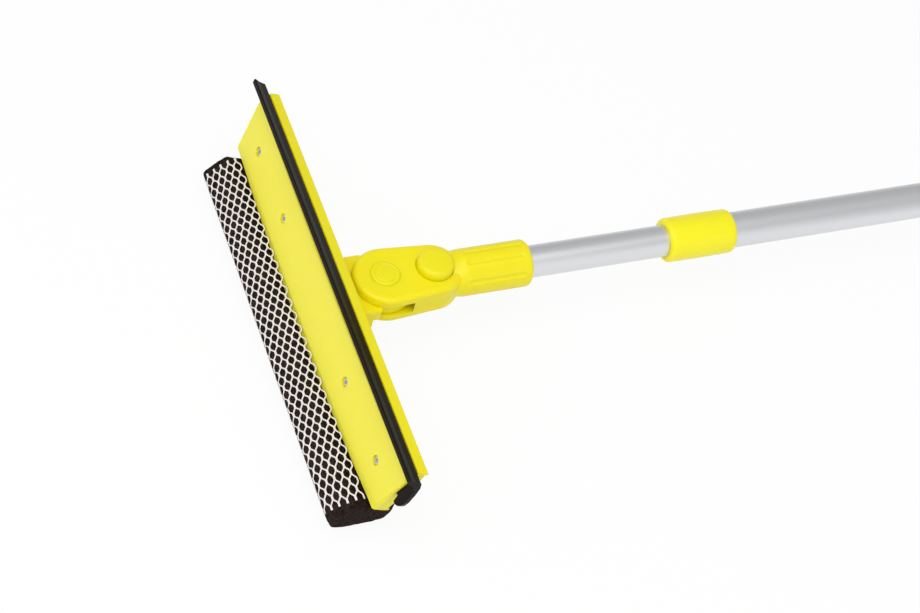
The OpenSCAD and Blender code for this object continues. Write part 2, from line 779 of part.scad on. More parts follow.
module end_cap() {
    color(yellow) stand() difference() {
        union() {
            translate([plug_face, 0, 0]) rotate([0, 90, 0]) cylinder(h = plug_len, r = outer_bore);
            translate([tube_end, 0, 0]) rotate([0, 90, 0]) cylinder(h = 3, r = end_r);
            intersection() {
                translate([tube_end, 0, 0]) rotate([0, 90, 0])
                    cylinder(h = hole_reach + end_r, r = end_r);
                translate([0, 0, -eye_half]) linear_extrude(2 * eye_half) {
                    translate([tube_end, -end_r]) square([hole_reach - 1.4, 2 * end_r]);
                    translate([hole_x - 1.4, 0]) circle(r = end_r);
                }
            }
            for (s = [0, 1]) mirror([0, 0, s]) translate([tube_end + 3, 0, 0]) rotate([90, 0, 0])
                linear_extrude(2 * (end_r - 3), center = true)
                polygon([[-1, 0], [-1, end_r - 4], [0, end_r - 4], [hole_reach - hole_r - 7, eye_half - 0.2],
                    [hole_reach - hole_r - 7, 0]]);
        }
        translate([hole_x, 0, -20]) cylinder(h = 40, r = hole_r);
        translate([plug_face - 1, 0, 0]) rotate([0, 90, 0]) cylinder(h = plug_len - 2, r = outer_bore - 2);
    }
}

head_frame();
front_plate();
squeegee_blade();
sponge();
sponge_net();
clamp_screws();
yoke();
pivot_bolt();
spring_washer();
pivot_nut();
pivot_cap();
nut_cap();
friction_washers();
lock_button();
lock_pawl();
lock_spring();
inner_tube();
socket_screw();
lock_cone();
lock_ring();
cone_screw();
outer_tube();
pole_collar();
hand_grip();
end_cap();
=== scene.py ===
import json
import math
from types import SimpleNamespace

import bmesh
import bpy
from bpy.props import FloatProperty, FloatVectorProperty, IntProperty, PointerProperty
from mathutils import Matrix, Vector


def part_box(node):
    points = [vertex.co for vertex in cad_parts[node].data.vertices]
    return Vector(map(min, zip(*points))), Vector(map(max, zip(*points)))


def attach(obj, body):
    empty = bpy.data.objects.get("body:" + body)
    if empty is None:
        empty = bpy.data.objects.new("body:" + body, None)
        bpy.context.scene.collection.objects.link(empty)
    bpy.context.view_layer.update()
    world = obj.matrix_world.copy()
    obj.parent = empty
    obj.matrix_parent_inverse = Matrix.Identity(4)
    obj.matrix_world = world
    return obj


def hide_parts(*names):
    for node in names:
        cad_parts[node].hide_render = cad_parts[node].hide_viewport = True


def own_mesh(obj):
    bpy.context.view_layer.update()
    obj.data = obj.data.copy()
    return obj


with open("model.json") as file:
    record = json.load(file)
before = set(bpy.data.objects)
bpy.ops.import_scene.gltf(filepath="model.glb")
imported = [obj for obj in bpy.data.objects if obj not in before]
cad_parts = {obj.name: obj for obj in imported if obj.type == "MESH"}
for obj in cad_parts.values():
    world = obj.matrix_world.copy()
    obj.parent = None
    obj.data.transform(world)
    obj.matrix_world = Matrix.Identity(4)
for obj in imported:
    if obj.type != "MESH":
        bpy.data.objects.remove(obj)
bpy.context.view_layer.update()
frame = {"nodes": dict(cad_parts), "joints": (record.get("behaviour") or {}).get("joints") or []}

bl_info = {
    "name": "Window scrubber",
    "version": (1, 0, 0),
    "blender": (4, 5, 0),
    "location": "View3D > Sidebar > Scrubber",
    "description": "Dresses the packed window scrubber with its net, foam and finishes",
    "category": "Object",
}

MM = 0.001
MERGE = 0.02 * MM
PIVOT = Vector(next(j["pos_m"] for j in frame["joints"] if j["name"] == "head_swivel"))
NET_LOW, NET_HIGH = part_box("sponge_net")
NET_SKIN = 0.8 * MM
FOAM_HEIGHT = 29.0 * MM

# Axes of the tilted head: x to the back, z up the cover plate, origin on its screw line
TILT = math.radians(20.0)
SLAB = (Matrix.Translation(PIVOT + Vector((-46.5, 0.0, -3.0)) * MM)
        @ Matrix.Rotation(TILT, 4, "Y"))

# Millimetres on those axes
PLATE_END = 158.5
PLATE_TOP = 21.2
PLATE_HEIGHT = 45.7
END_SLOPE = 9.0 / PLATE_HEIGHT
FRAME_BACK = 10.0
CLAMP_BACK = 5.2


# ---------------------------------------------------------------- node maths

class Signal:
    """A node's output that takes part in Python arithmetic."""

    def __init__(self, nodes, socket):
        self.nodes = nodes
        self.socket = socket

    def other(self, output):
        """Another output of the same node."""
        return Signal(self.nodes, self.socket.node.outputs[output])

    def _math(self, operation, *values):
        return self.nodes.add("ShaderNodeMath", {"operation": operation},
                              dict(enumerate(values)))

    def __add__(self, value):
        return self._math("ADD", self, value)

    def __radd__(self, value):
        return self._math("ADD", value, self)

    def __sub__(self, value):
        return self._math("SUBTRACT", self, value)

    def __rsub__(self, value):
        return self._math("SUBTRACT", value, self)

    def __mul__(self, value):
        return self._math("MULTIPLY", self, value)

    def __rmul__(self, value):
        return self._math("MULTIPLY", value, self)

    def __truediv__(self, value):
        return self._math("DIVIDE", self, value)

    def __mod__(self, value):
        return self._math("MODULO", self, value)

    def whole(self):
        """The signal without its fraction."""
        return self._math("FLOOR", self)

    def clamped(self, low, high):
        """The signal held between two values and rescaled to run from 0 to 1."""
        held = self._math("MINIMUM", self._math("MAXIMUM", self, low), high)
        return (held - low) * (1.0 / (high - low))


class Nodes:
    """The node tree of a material, a sky or a geometry group, under construction."""

    def __init__(self, tree):
        self.tree = tree

    def add(self, kind, settings=None, inputs=None, output=0):
        """Adds a node: its settings first, then its sockets, by name or place."""
        node = self.tree.nodes.new(kind)
        for key, value in (settings or {}).items():
            setattr(node, key, value)
        for key, value in (inputs or {}).items():
            self.feed(node.inputs[key], value)
        return Signal(self, node.outputs[output])

    def feed(self, socket, value):
        """Links a signal to a socket, or sets the socket to a constant."""
        if isinstance(value, Signal):
            self.tree.links.new(value.socket, socket)
        else:
            socket.default_value = value

    def first(self, kind):
        """The node of a kind that a new tree starts with."""
        return next(node for node in self.tree.nodes if node.type == kind)


class Finish(Nodes):
    """A material under construction: one Principled shader and what feeds it."""

    def __init__(self, name, colour, roughness, **constants):
        self.material = bpy.data.materials.new(name)
        self.material.use_nodes = True
        self.material.diffuse_color = (*colour, 1.0)
        super().__init__(self.material.node_tree)
        self.shader = self.first("BSDF_PRINCIPLED")
        self.set("Base Color", (*colour, 1.0))
        self.set("Roughness", roughness)
        for socket, value in constants.items():
            self.set(socket.replace("_", " "), value)

    def set(self, socket, value):
        """Gives one of the shader's sockets a constant or a signal."""
        self.feed(self.shader.inputs[socket], value)

    def place(self, stretch=(1.0, 1.0, 1.0)):
        """Object coordinates, stretched along the axes."""
        spot = self.add("ShaderNodeTexCoord", output="Object")
        return self.add("ShaderNodeMapping", inputs={"Vector": spot, "Scale": stretch})

    def noise(self, scale, detail=3.0, stretch=(1.0, 1.0, 1.0)):
        """Soft clouds, from 0 to 1."""
        return self.add("ShaderNodeTexNoise", inputs={
            "Vector": self.place(stretch), "Scale": scale, "Detail": detail})

    def cells(self, scale):
        """Round cells: the distance to each one's middle."""
        return self.add("ShaderNodeTexVoronoi", inputs={
            "Vector": self.place(), "Scale": scale})

    def mixed(self, mask, low, high):
        """A colour that runs from low to high with the mask."""
        return self.add("ShaderNodeMix", {"data_type": "RGBA"},
                        {0: mask, 6: (*low, 1.0), 7: (*high, 1.0)}, output=2)

    def bump(self, height, strength, distance):
        """Raises the surface by a signal."""
        self.set("Normal", self.add("ShaderNodeBump", inputs={
            "Height": height, "Strength": strength, "Distance": distance}))


def shade(colour, factor):
    """A colour made darker or lighter by a factor."""
    return tuple(min(1.0, c * factor) for c in colour)


def moulded_plastic(name, colour, roughness):
    """Injection-moulded plastic: even colour, faint sink marks and a soft gloss."""
    finish = Finish(name, colour, roughness, IOR=1.42, Subsurface_Weight=0.25,
                    Subsurface_Scale=6 * MM, Subsurface_Radius=(1.0, 0.55, 0.1))
    cloud = finish.noise(scale=30.0, detail=2.0)
    finish.set("Base Color", finish.mixed(cloud, shade(colour, 0.97), shade(colour, 1.02)))
    finish.set("Roughness", finish.noise(scale=90.0) * 0.1 + (roughness - 0.05))
    finish.bump(finish.noise(scale=45.0, detail=1.0), strength=0.05, distance=0.002)
    return finish.material


def vulcanised_rubber(name, colour, roughness):
    """Black rubber with a fine extruded grain and a dusty lift of tone."""
    finish = Finish(name, colour, roughness, IOR=1.25, Specular_IOR_Level=0.22)
    grain = finish.noise(scale=260.0, stretch=(1.0, 0.15, 1.0))
    finish.set("Base Color", finish.mixed(grain, shade(colour, 0.8), shade(colour, 1.25)))
    finish.set("Roughness", grain * 0.15 + (roughness - 0.08))
    finish.bump(grain, strength=0.12, distance=0.0004)
    return finish.material


def drawn_aluminium(name, colour, roughness):
    """Drawn tube: streaks along the pole over a satin metal."""
    finish = Finish(name, colour, roughness, Metallic=1.0)
    streak = finish.noise(scale=900.0, detail=2.0, stretch=(0.01, 1.0, 1.0))
    finish.set("Roughness", streak * 0.16 + (roughness - 0.08))
    finish.bump(streak, strength=0.05, distance=0.0002)
    return finish.material


def plated_steel(name, colour, roughness):
    """Zinc-plated steel with a slightly uneven polish."""
    finish = Finish(name, colour, roughness, Metallic=1.0)
    finish.set("Roughness", finish.noise(scale=400.0) * 0.2 + (roughness - 0.1))
    return finish.material


def open_foam(name, colour):
    """Open-cell foam: round pores with painted shade on their floors and painted light on their
    walls.
    """
    finish = Finish(name, colour, 0.95, Specular_IOR_Level=0.1)
    pores = finish.cells(scale=520.0)
    wide = finish.cells(scale=190.0)
    depth = pores * 0.65 + wide * 0.35
    # Painted shade and light: darker towards each pore's middle, lighter on its walls; the same
    # depth also drives the bump
    finish.set("Base Color", finish.mixed(depth.clamped(0.2, 0.7), shade(colour, 0.35),
                                          shade(colour, 1.9)))
    finish.bump(depth, strength=0.9, distance=0.0012)
    return finish.material


def knitted_thread(name, colour):
    """White knitted yarn with a twist along it."""
    finish = Finish(name, colour, 0.75)
    twist = finish.noise(scale=1400.0, detail=2.0)
    finish.set("Base Color", finish.mixed(twist, shade(colour, 0.8), shade(colour, 1.08)))
    finish.bump(twist, strength=0.5, distance=0.0003)
    return finish.material


# ---------------------------------------------------------------- settings

def length(name, description, metres):
    """A length property."""
    return FloatProperty(name=name, description=description, default=metres,
                         subtype="DISTANCE", unit="LENGTH")


def angle(name, description, degrees):
    """An angle property."""
    return FloatProperty(name=name, description=description, default=math.radians(degrees),
                         subtype="ANGLE", unit="ROTATION")


def power(name, description, watts):
    """A lamp's power."""
    return FloatProperty(name=name, description=description, default=watts,
                         min=0.0, unit="POWER")


def tint(name, description, default):
    """A colour property in linear values."""
    return FloatVectorProperty(name=name, description=description, default=default,
                               subtype="COLOR", size=3, min=0.0, max=1.0)


class ScrubberSizes(bpy.types.PropertyGroup):
    """Sizes of the net and the foam."""

    cell_pitch: length("Cell pitch", "Length of one wave of a strand", 10.8 * MM)
    cell_flat: length("Cell flat", "Stretch where two strands touch", 2.9 * MM)
    row_pitch: length("Row pitch", "Distance between two strands", 2.75 * MM)
    thread_radius: length("Thread radius", "Half the yarn's thickness", 0.55 * MM)
    bend_radius: length("Bend radius", "Rounding of the yarn's bends", 1.5 * MM)
    thread_sides: IntProperty(name="Thread sides", description="Faces around one thread",
                              default=5, min=3, max=12)
    foam_grain: length("Foam grain", "Size of the remeshed foam facets", 1.3 * MM)
    foam_rough: length("Foam roughness", "Height of the foam's uneven skin", 0.5 * MM)


class ScrubberShapes(bpy.types.PropertyGroup):
    """Forms that go beyond the plain solids."""

    lip_reach: length("Lip reach", "How far the blade's lip hooks forward", 9.8 * MM)
    top_width: length("Top width", "Width of the blade's broad top", 11.0 * MM)
    tail_foot: length("Tail foot", "Height of the blade's hanging tail", -1.4 * MM)
    tail_round: length("Tail rounding", "Height of the tail's curved end", 10.0 * MM)
    frame_extra: length("Frame extra", "Added depth of the back frame", 2.2 * MM)
    corner_out: length("Corner out", "Added reach of the lower corners", 2.0 * MM)
    splay: length("Splay", "How far the clamped foam bulges at its ends", 5.0 * MM)

    def in_mm(self):
        """The same lengths in millimetres, by name."""
        return SimpleNamespace(**{name: getattr(self, name) / MM
                                  for name in ScrubberShapes.__annotations__})


class ScrubberColours(bpy.types.PropertyGroup):
    """Colours of the finishes."""

    yellow: tint("Yellow", "Yoke, frame and caps", (0.89, 0.78, 0.004))
    pale_yellow: tint("Pale yellow", "Cover plate", (0.95, 0.84, 0.06))
    collar_yellow: tint("Collar yellow", "Pole collar and end cap", (0.99, 0.87, 0.012))
    rubber: tint("Rubber", "Wiping blade", (0.008, 0.0045, 0.0026))
    grip: tint("Grip", "Hand grip", (0.02, 0.02, 0.021))
    foam: tint("Foam", "Sponge", (0.016, 0.010, 0.008))
    thread: tint("Thread", "Net", (0.90, 0.855, 0.835))
    tube: tint("Tube", "Pole tubes", (0.78, 0.79, 0.81))
    steel: tint("Steel", "Screws, bolt and spring", (0.62, 0.62, 0.63))
    bush: tint("Bush", "Washers and lock ring", (0.75, 0.75, 0.71))
    dark: tint("Dark", "Lock cone", (0.03, 0.03, 0.03))


class ScrubberStage(bpy.types.PropertyGroup):
    """Camera and light."""

    focal: FloatProperty(name="Focal length", description="Lens in millimetres on a 36 mm sensor",
                         default=82.8, min=1.0)
    azimuth: angle("Azimuth", "Camera's turn around the object", -33.2)
    elevation: angle("Elevation", "Camera's height over the object", 50.16)
    roll: angle("Roll", "Camera's turn around its own axis", 17.39)
    distance: length("Distance", "Camera to the point it looks at", 1.3876)
    aim: FloatVectorProperty(name="Aim", description="Point it looks at, from the swivel axis",
                             default=(44.9 * MM, -27.8 * MM, 1.0 * MM), subtype="TRANSLATION",
                             unit="LENGTH", size=3)
    key: power("Key light", "Power of the large soft lamp", 15.5)
    fill: power("Fill light", "Power of the fill lamp", 2.7)
    side: power("Side light", "Power of the low side lamp", 2.6)
    sky: FloatProperty(name="Sky", description="Strength of the even white light", default=0.5)


# ---------------------------------------------------------------- helpers

def finish_nodes(material, *names):
    """Gives CAD nodes their material."""
    for name in names:
        node = frame["nodes"][name]
        if not node.material_slots:
            node.data.materials.append(material)
        for slot in node.material_slots:
            slot.material = material


def linked(name, data):
    """A new object in the scene, for a mesh, a curve, a lamp or a camera."""
    piece = bpy.data.objects.new(name, data)
    bpy.context.scene.collection.objects.link(piece)
    return piece


def evaluated(piece):
    """The plain mesh that a piece's modifiers make."""
    graph = bpy.context.evaluated_depsgraph_get()
    return bpy.data.meshes.new_from_object(piece.evaluated_get(graph))


def settled(piece):
    """Applies a piece's modifiers."""
    plain, rough = evaluated(piece), piece.data
    plain.name = piece.name
    piece.modifiers.clear()
    piece.data = plain
    bpy.data.meshes.remove(rough)


def moved(piece, place):
    """Sends each vertex of a piece through a function of its place."""
    for vertex in piece.data.vertices:
        vertex.co = place(vertex.co)
    piece.data.update()


def reshaped(name, node, place):
    """A copy of a CAD node whose vertices go through a function of their place."""
    piece = linked(name, frame["nodes"][node].data.copy())
    moved(piece, place)
    return piece


def stands_for(piece, node, material, body="head"):
    """Gives a piece its material and lets it take a CAD node's place on its body."""
    piece.data.materials.clear()
    piece.data.materials.append(material)
    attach(piece, body)
    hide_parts(node)


def arc(before, corner, after, radius, count=5):
    """Points that round a corner between its neighbours."""
    if radius == 0:
        return [corner]
    u, w = (before - corner).normalized(), (after - corner).normalized()
    half = u.angle(w) / 2
    middle = corner + (u + w).normalized() * (radius / math.sin(half))
    first = corner + u * (radius / math.tan(half)) - middle
    last = corner + w * (radius / math.tan(half)) - middle
    turn = first.angle_signed(last)
    return [middle + Matrix.Rotation(-turn * k / count, 2) @ first for k in range(count + 1)]


def rounded(corners):
    """Outline through (x, z, radius) corners with each one rounded."""
    points = [Vector(corner[:2]) for corner in corners]
    total = len(points)
    return [spot for k, corner in enumerate(corners)
            for spot in arc(points[k - 1], points[k], points[(k + 1) % total], corner[2])]


def prism(mesh, outline, front, back):
    """Adds a prism of an outline in y and z, between two depths on the head's axes."""
    rings = [[mesh.verts.new(SLAB @ (Vector((x, y, z)) * MM)) for y, z in outline]
             for x in (front, back)]
    total = len(outline)
    for k in range(total):
        mesh.faces.new((rings[0][k], rings[0][(k + 1) % total],
                        rings[1][(k + 1) % total], rings[1][k]))
    mesh.faces.new(rings[0][::-1])
    mesh.faces.new(rings[1])


class NetTree(Nodes):
    """A geometry node group with named sizes, under construction."""

    def __init__(self, name, sizes):
        super().__init__(bpy.data.node_groups.new(name, "GeometryNodeTree"))
        face = self.tree.interface
        face.new_socket("Geometry", in_out="INPUT", socket_type="NodeSocketGeometry")
        for label, value in sizes.items():
            kind = {int: "Int", float: "Float"}.get(type(value), "Material")
            socket = face.new_socket(label, in_out="INPUT", socket_type="NodeSocket" + kind)
            if kind != "Material":
                socket.default_value = value
        face.new_socket("Geometry", in_out="OUTPUT", socket_type="NodeSocketGeometry")
        self.entry = self.tree.nodes.new("NodeGroupInput")
        self.exit = self.tree.nodes.new("NodeGroupOutput")
        self.sizes = sizes

    def size(self, label):
        """One of the group's inputs."""
        return Signal(self, self.entry.outputs[label])

    def finish(self, geometry):
        """Ends in Realize Instances and Set Material."""
        real = self.add("GeometryNodeRealizeInstances", None, {"Geometry": geometry})
        done = self.add("GeometryNodeSetMaterial", None,
                        {"Geometry": real, "Material": self.size("Material")})
        self.feed(self.exit.inputs["Geometry"], done)

    def mesh(self, guide):
        """Runs the tree on a guide and returns the mesh it makes."""
        modifier = guide.modifiers.new(self.tree.name, "NODES")
        modifier.node_group = self.tree
        for item in self.tree.interface.items_tree:
            if item.in_out == "INPUT" and item.name in self.sizes:
                modifier[item.identifier] = self.sizes[item.name]
        mesh = evaluated(guide)
        guide.modifiers.remove(modifier)
        return mesh


# ---------------------------------------------------------------- pieces

class SCRUBBER_OT_moulded_parts(bpy.types.Operator):
    """Finishes the moulded plastic parts"""

    bl_idname = "scrubber.moulded_parts"
    bl_label = "Moulded parts"

    def execute(self, context):
        colours = context.scene.scrubber_colours
        yellow = moulded_plastic("yellow_plastic", tuple(colours.yellow), 0.36)
        finish_nodes(yellow, "head_frame", "yoke", "pivot_cap", "nut_cap", "lock_button")
        finish_nodes(moulded_plastic("collar_plastic", tuple(colours.collar_yellow), 0.3),
                     "pole_collar", "end_cap")
        pale = moulded_plastic("pale_plastic", tuple(colours.pale_yellow), 0.42)
        finish_nodes(pale, "front_plate")
        finish_nodes(moulded_plastic("white_plastic", tuple(colours.bush), 0.5),
                     "friction_washers", "lock_ring")
        finish_nodes(moulded_plastic("dark_plastic", tuple(colours.dark), 0.5), "lock_cone")
        self.clamp(context.scene.scrubber_shapes.in_mm(), yellow, pale)
        return {"FINISHED"}

    def clamp(self, shapes, yellow, pale):
        """Deepens the back frame, brings out the lower corners and closes the frame's ends."""
        to_slab = SLAB.inverted()
        corner_from, corner_run = 138.0, 8.0
        back_from, slab_back = 8.2, 13.0
        lug_low, lug_high, lug_side = -12.5 * MM, 8.5 * MM, 28.0 * MM
        level_extra = Vector((shapes.frame_extra / math.cos(TILT), 0.0, 0.0)) * MM

        def cornered(spot):
            drop = max(0.0, PLATE_TOP - spot.z) / PLATE_HEIGHT
            out = min(1.0, max(0.0, (abs(spot.y) - corner_from) / corner_run))
            spot.y += math.copysign(shapes.corner_out * drop * out, spot.y)
            return spot

        def deepened(place):
            spot = (to_slab @ place) / MM
            on_back = back_from < spot.x < FRAME_BACK + 0.03
            at_lug = lug_low < place.z - PIVOT.z < lug_high and abs(place.y) < lug_side
            if on_back and at_lug:
                return place + level_extra
            if on_back:
                spot.x += shapes.frame_extra
            return SLAB @ (cornered(spot) * MM) if spot.x < slab_back else place

        body = reshaped("back_frame", "head_frame", deepened)
        stands_for(body, "head_frame", yellow)
        ends = linked("frame_ends", self.end_walls(shapes.corner_out))
        stands_for(ends, "head_frame", yellow)
        plate = reshaped("cover_plate", "front_plate",
                         lambda place: SLAB @ (cornered((to_slab @ place) / MM) * MM))
        stands_for(plate, "front_plate", pale)

    def end_walls(self, corner_out):
        """Two prisms between the plates that follow the head's leaning ends."""
        low, high, thickness = -19.6, 4.0, 2.4
        front, back = 1.6, CLAMP_BACK + 0.6
        slope = END_SLOPE - corner_out / PLATE_HEIGHT
        walls = bmesh.new()
        for side in (-1.0, 1.0):
            edge = [(PLATE_END - 0.05 - (PLATE_TOP - z) * slope, z) for z in (low, high)]
            inner = [(y - thickness, z) for y, z in reversed(edge)]
            prism(walls, [(side * y, z) for y, z in edge + inner], front, back)
        bmesh.ops.recalc_face_normals(walls, faces=walls.faces)
        mesh = bpy.data.meshes.new("frame_ends")
        walls.to_mesh(mesh)
        walls.free()
        return mesh


class SCRUBBER_OT_metal_parts(bpy.types.Operator):
    """Finishes the tubes, screws, bolt and spring"""

    bl_idname = "scrubber.metal_parts"
    bl_label = "Metal parts"

    def execute(self, context):
        colours = context.scene.scrubber_colours
        finish_nodes(drawn_aluminium("tube_metal", tuple(colours.tube), 0.44),
                     "inner_tube", "outer_tube")
        steel = plated_steel("steel", tuple(colours.steel), 0.3)
        finish_nodes(steel, "clamp_screws", "pivot_bolt", "spring_washer", "pivot_nut",
                     "lock_pawl", "lock_spring", "socket_screw", "cone_screw")
        self.spring(steel)
        return {"FINISHED"}

    def spring(self, steel):
        """Copies the coil spring onto the pole's inner body, as a piece with its own mesh."""
        coil = reshaped("button_spring", "lock_spring", lambda place: place)
        stands_for(coil, "lock_spring", steel, "pole_inner")
        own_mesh(coil)


class SCRUBBER_OT_rubber_parts(bpy.types.Operator):
    """Finishes the wiping blade and the hand grip"""

    bl_idname = "scrubber.rubber_parts"
    bl_label = "Rubber parts"

    def execute(self, context):
        colours = context.scene.scrubber_colours
        black = vulcanised_rubber("blade_rubber", tuple(colours.rubber), 0.36)
        finish_nodes(black, "squeegee_blade")
        self.blade(context.scene.scrubber_shapes.in_mm(), black)
        finish_nodes(vulcanised_rubber("grip_rubber", tuple(colours.grip), 0.6), "hand_grip")
        return {"FINISHED"}

    def blade(self, shapes, black):
        """Runs the blade's section along the head, from its hanging tail to its tongue."""
        front, back, foot, tongue = 2.4, CLAMP_BACK, 4.4, 22.0
        edge = Vector((front - shapes.lip_reach, 32.0))
        slant = math.radians(21.0)
        heel = edge + Vector((math.cos(slant), -math.sin(slant))) * shapes.top_width
        crest = (edge + heel) / 2
        section = rounded([
            (front, shapes.tail_foot, 0.6), (back, shapes.tail_foot, 0.6), (back, 13.0, 2.0),
            (back + 0.2, 16.0, 4.0), (back - 0.3, 23.2, 4.0), (heel.x + 0.3, heel.y, 1.6),
            (crest.x, crest.y - 0.5, 8.0), (edge.x, edge.y, 0.5),
            (edge.x + 0.4, edge.y - 4.2, 0.6), (0.0, 24.2, 2.0), (0.0, PLATE_TOP, 0.0),
            (front, PLATE_TOP, 0.0)])
        half, run, steps = 166.5, 8.0, 8
        stations = [(-half + run * k / steps, shapes.tail_foot + shapes.tail_round
                     * (1.0 - math.sqrt(1.0 - (1.0 - k / steps) ** 2)))
                    for k in range(steps + 1)]
        stations += [(-PLATE_END + 0.3, foot), (0.0, foot), (PLATE_END - 0.2, foot),
                     (PLATE_END + 0.1, tongue), (half, tongue)]
        mesh = bmesh.new()
        rings = [[mesh.verts.new(SLAB @ (Vector((p.x, y, max(p.y, low))) * MM)) for p in section]
                 for y, low in stations]
        total = len(section)
        for near, far in zip(rings, rings[1:]):
            for k in range(total):
                mesh.faces.new((near[k], near[(k + 1) % total], far[(k + 1) % total], far[k]))
        mesh.faces.new(rings[0][::-1])
        mesh.faces.new(rings[-1])
        bmesh.ops.remove_doubles(mesh, verts=mesh.verts, dist=MERGE)
        bmesh.ops.triangulate(mesh, faces=[f for f in mesh.faces if len(f.verts) > 4])
        bmesh.ops.recalc_face_normals(mesh, faces=mesh.faces)
        blade = linked("wiping_blade", bpy.data.meshes.new("wiping_blade"))
        mesh.to_mesh(blade.data)
        mesh.free()
        blade.data.shade_smooth()
        blade.data.set_sharp_from_angle(angle=math.radians(35.0))
        stands_for(blade, "squeegee_blade", black)


def splayed(splay):
    """Function that bulges the foam and its net outwards at the ends, under the clamp."""
    bulge_from, bulge_to = 100.0 * MM, 144.0 * MM
    far_splay, under_plate = 0.65 * splay, 20.0 * MM

    def share(value, low, high):
        return min(1.0, max(0.0, (value - low) / (high - low)))

    def place(spot):
        up = share(spot.z, NET_LOW.z, NET_LOW.z + FOAM_HEIGHT)
        under = share(spot.x, NET_LOW.x, NET_LOW.x + under_plate)
        out = share(abs(spot.y), bulge_from, bulge_to) ** 2
        grow = splay * up if spot.y < 0 else -far_splay * up * under
        return spot - Vector((0.0, grow * out * MM, 0.0))
    return place


class SCRUBBER_OT_foam(bpy.types.Operator):
    """Builds the foam block with its torn, open skin"""

    bl_idname = "scrubber.foam"
    bl_label = "Foam block"

    def execute(self, context):
        sizes = context.scene.scrubber_sizes
        foam = linked("foam_block", frame["nodes"]["sponge"].data.copy())
        mesh = bmesh.new()
        mesh.from_mesh(foam.data)
        bmesh.ops.remove_doubles(mesh, verts=mesh.verts, dist=MERGE)
        mesh.to_mesh(foam.data)
        mesh.free()
        remesh = foam.modifiers.new("even_facets", "REMESH")
        remesh.mode = "VOXEL"
        remesh.voxel_size = sizes.foam_grain
        soften = foam.modifiers.new("soft_edges", "SMOOTH")
        soften.iterations = 3
        clouds = bpy.data.textures.new("foam_skin", "CLOUDS")
        clouds.noise_scale = 3.5 * MM
        rough = foam.modifiers.new("uneven_skin", "DISPLACE")
        rough.texture = clouds
        rough.texture_coords = "LOCAL"
        rough.strength = sizes.foam_rough
        rough.mid_level = 0.75
        settled(foam)
        moved(foam, splayed(context.scene.scrubber_shapes.in_mm().splay))
        foam.data.shade_smooth()
        material = open_foam("foam", tuple(context.scene.scrubber_colours.foam))
        stands_for(foam, "sponge", material)
        return {"FINISHED"}


def net_path():
    """Section that the net follows, from the plate round the sponge to the frame."""
    gap = NET_SKIN / 2
    front, back = NET_LOW.x + gap, NET_HIGH.x - gap
    base = NET_LOW.z + gap
    wide, tall = back - front, FOAM_HEIGHT + NET_SKIN
    corners = [(0.51, 1.0), (0.422, 1.0), (0.222, 0.862), (0.0, 0.61), (0.144, 0.076),
               (0.311, 0.0), (0.756, 0.0), (0.933, 0.069), (1.0, 0.345), (1.0, 0.793), (0.9, 1.0)]
    path = bpy.data.curves.new("net_path", "CURVE")
    path.dimensions = "3D"
    spline = path.splines.new("POLY")
    spline.points.add(len(corners) - 1)
    for point, (across, up) in zip(spline.points, corners):
        point.co = (front + across * wide, 0.0, base + up * tall, 1.0)
    return path


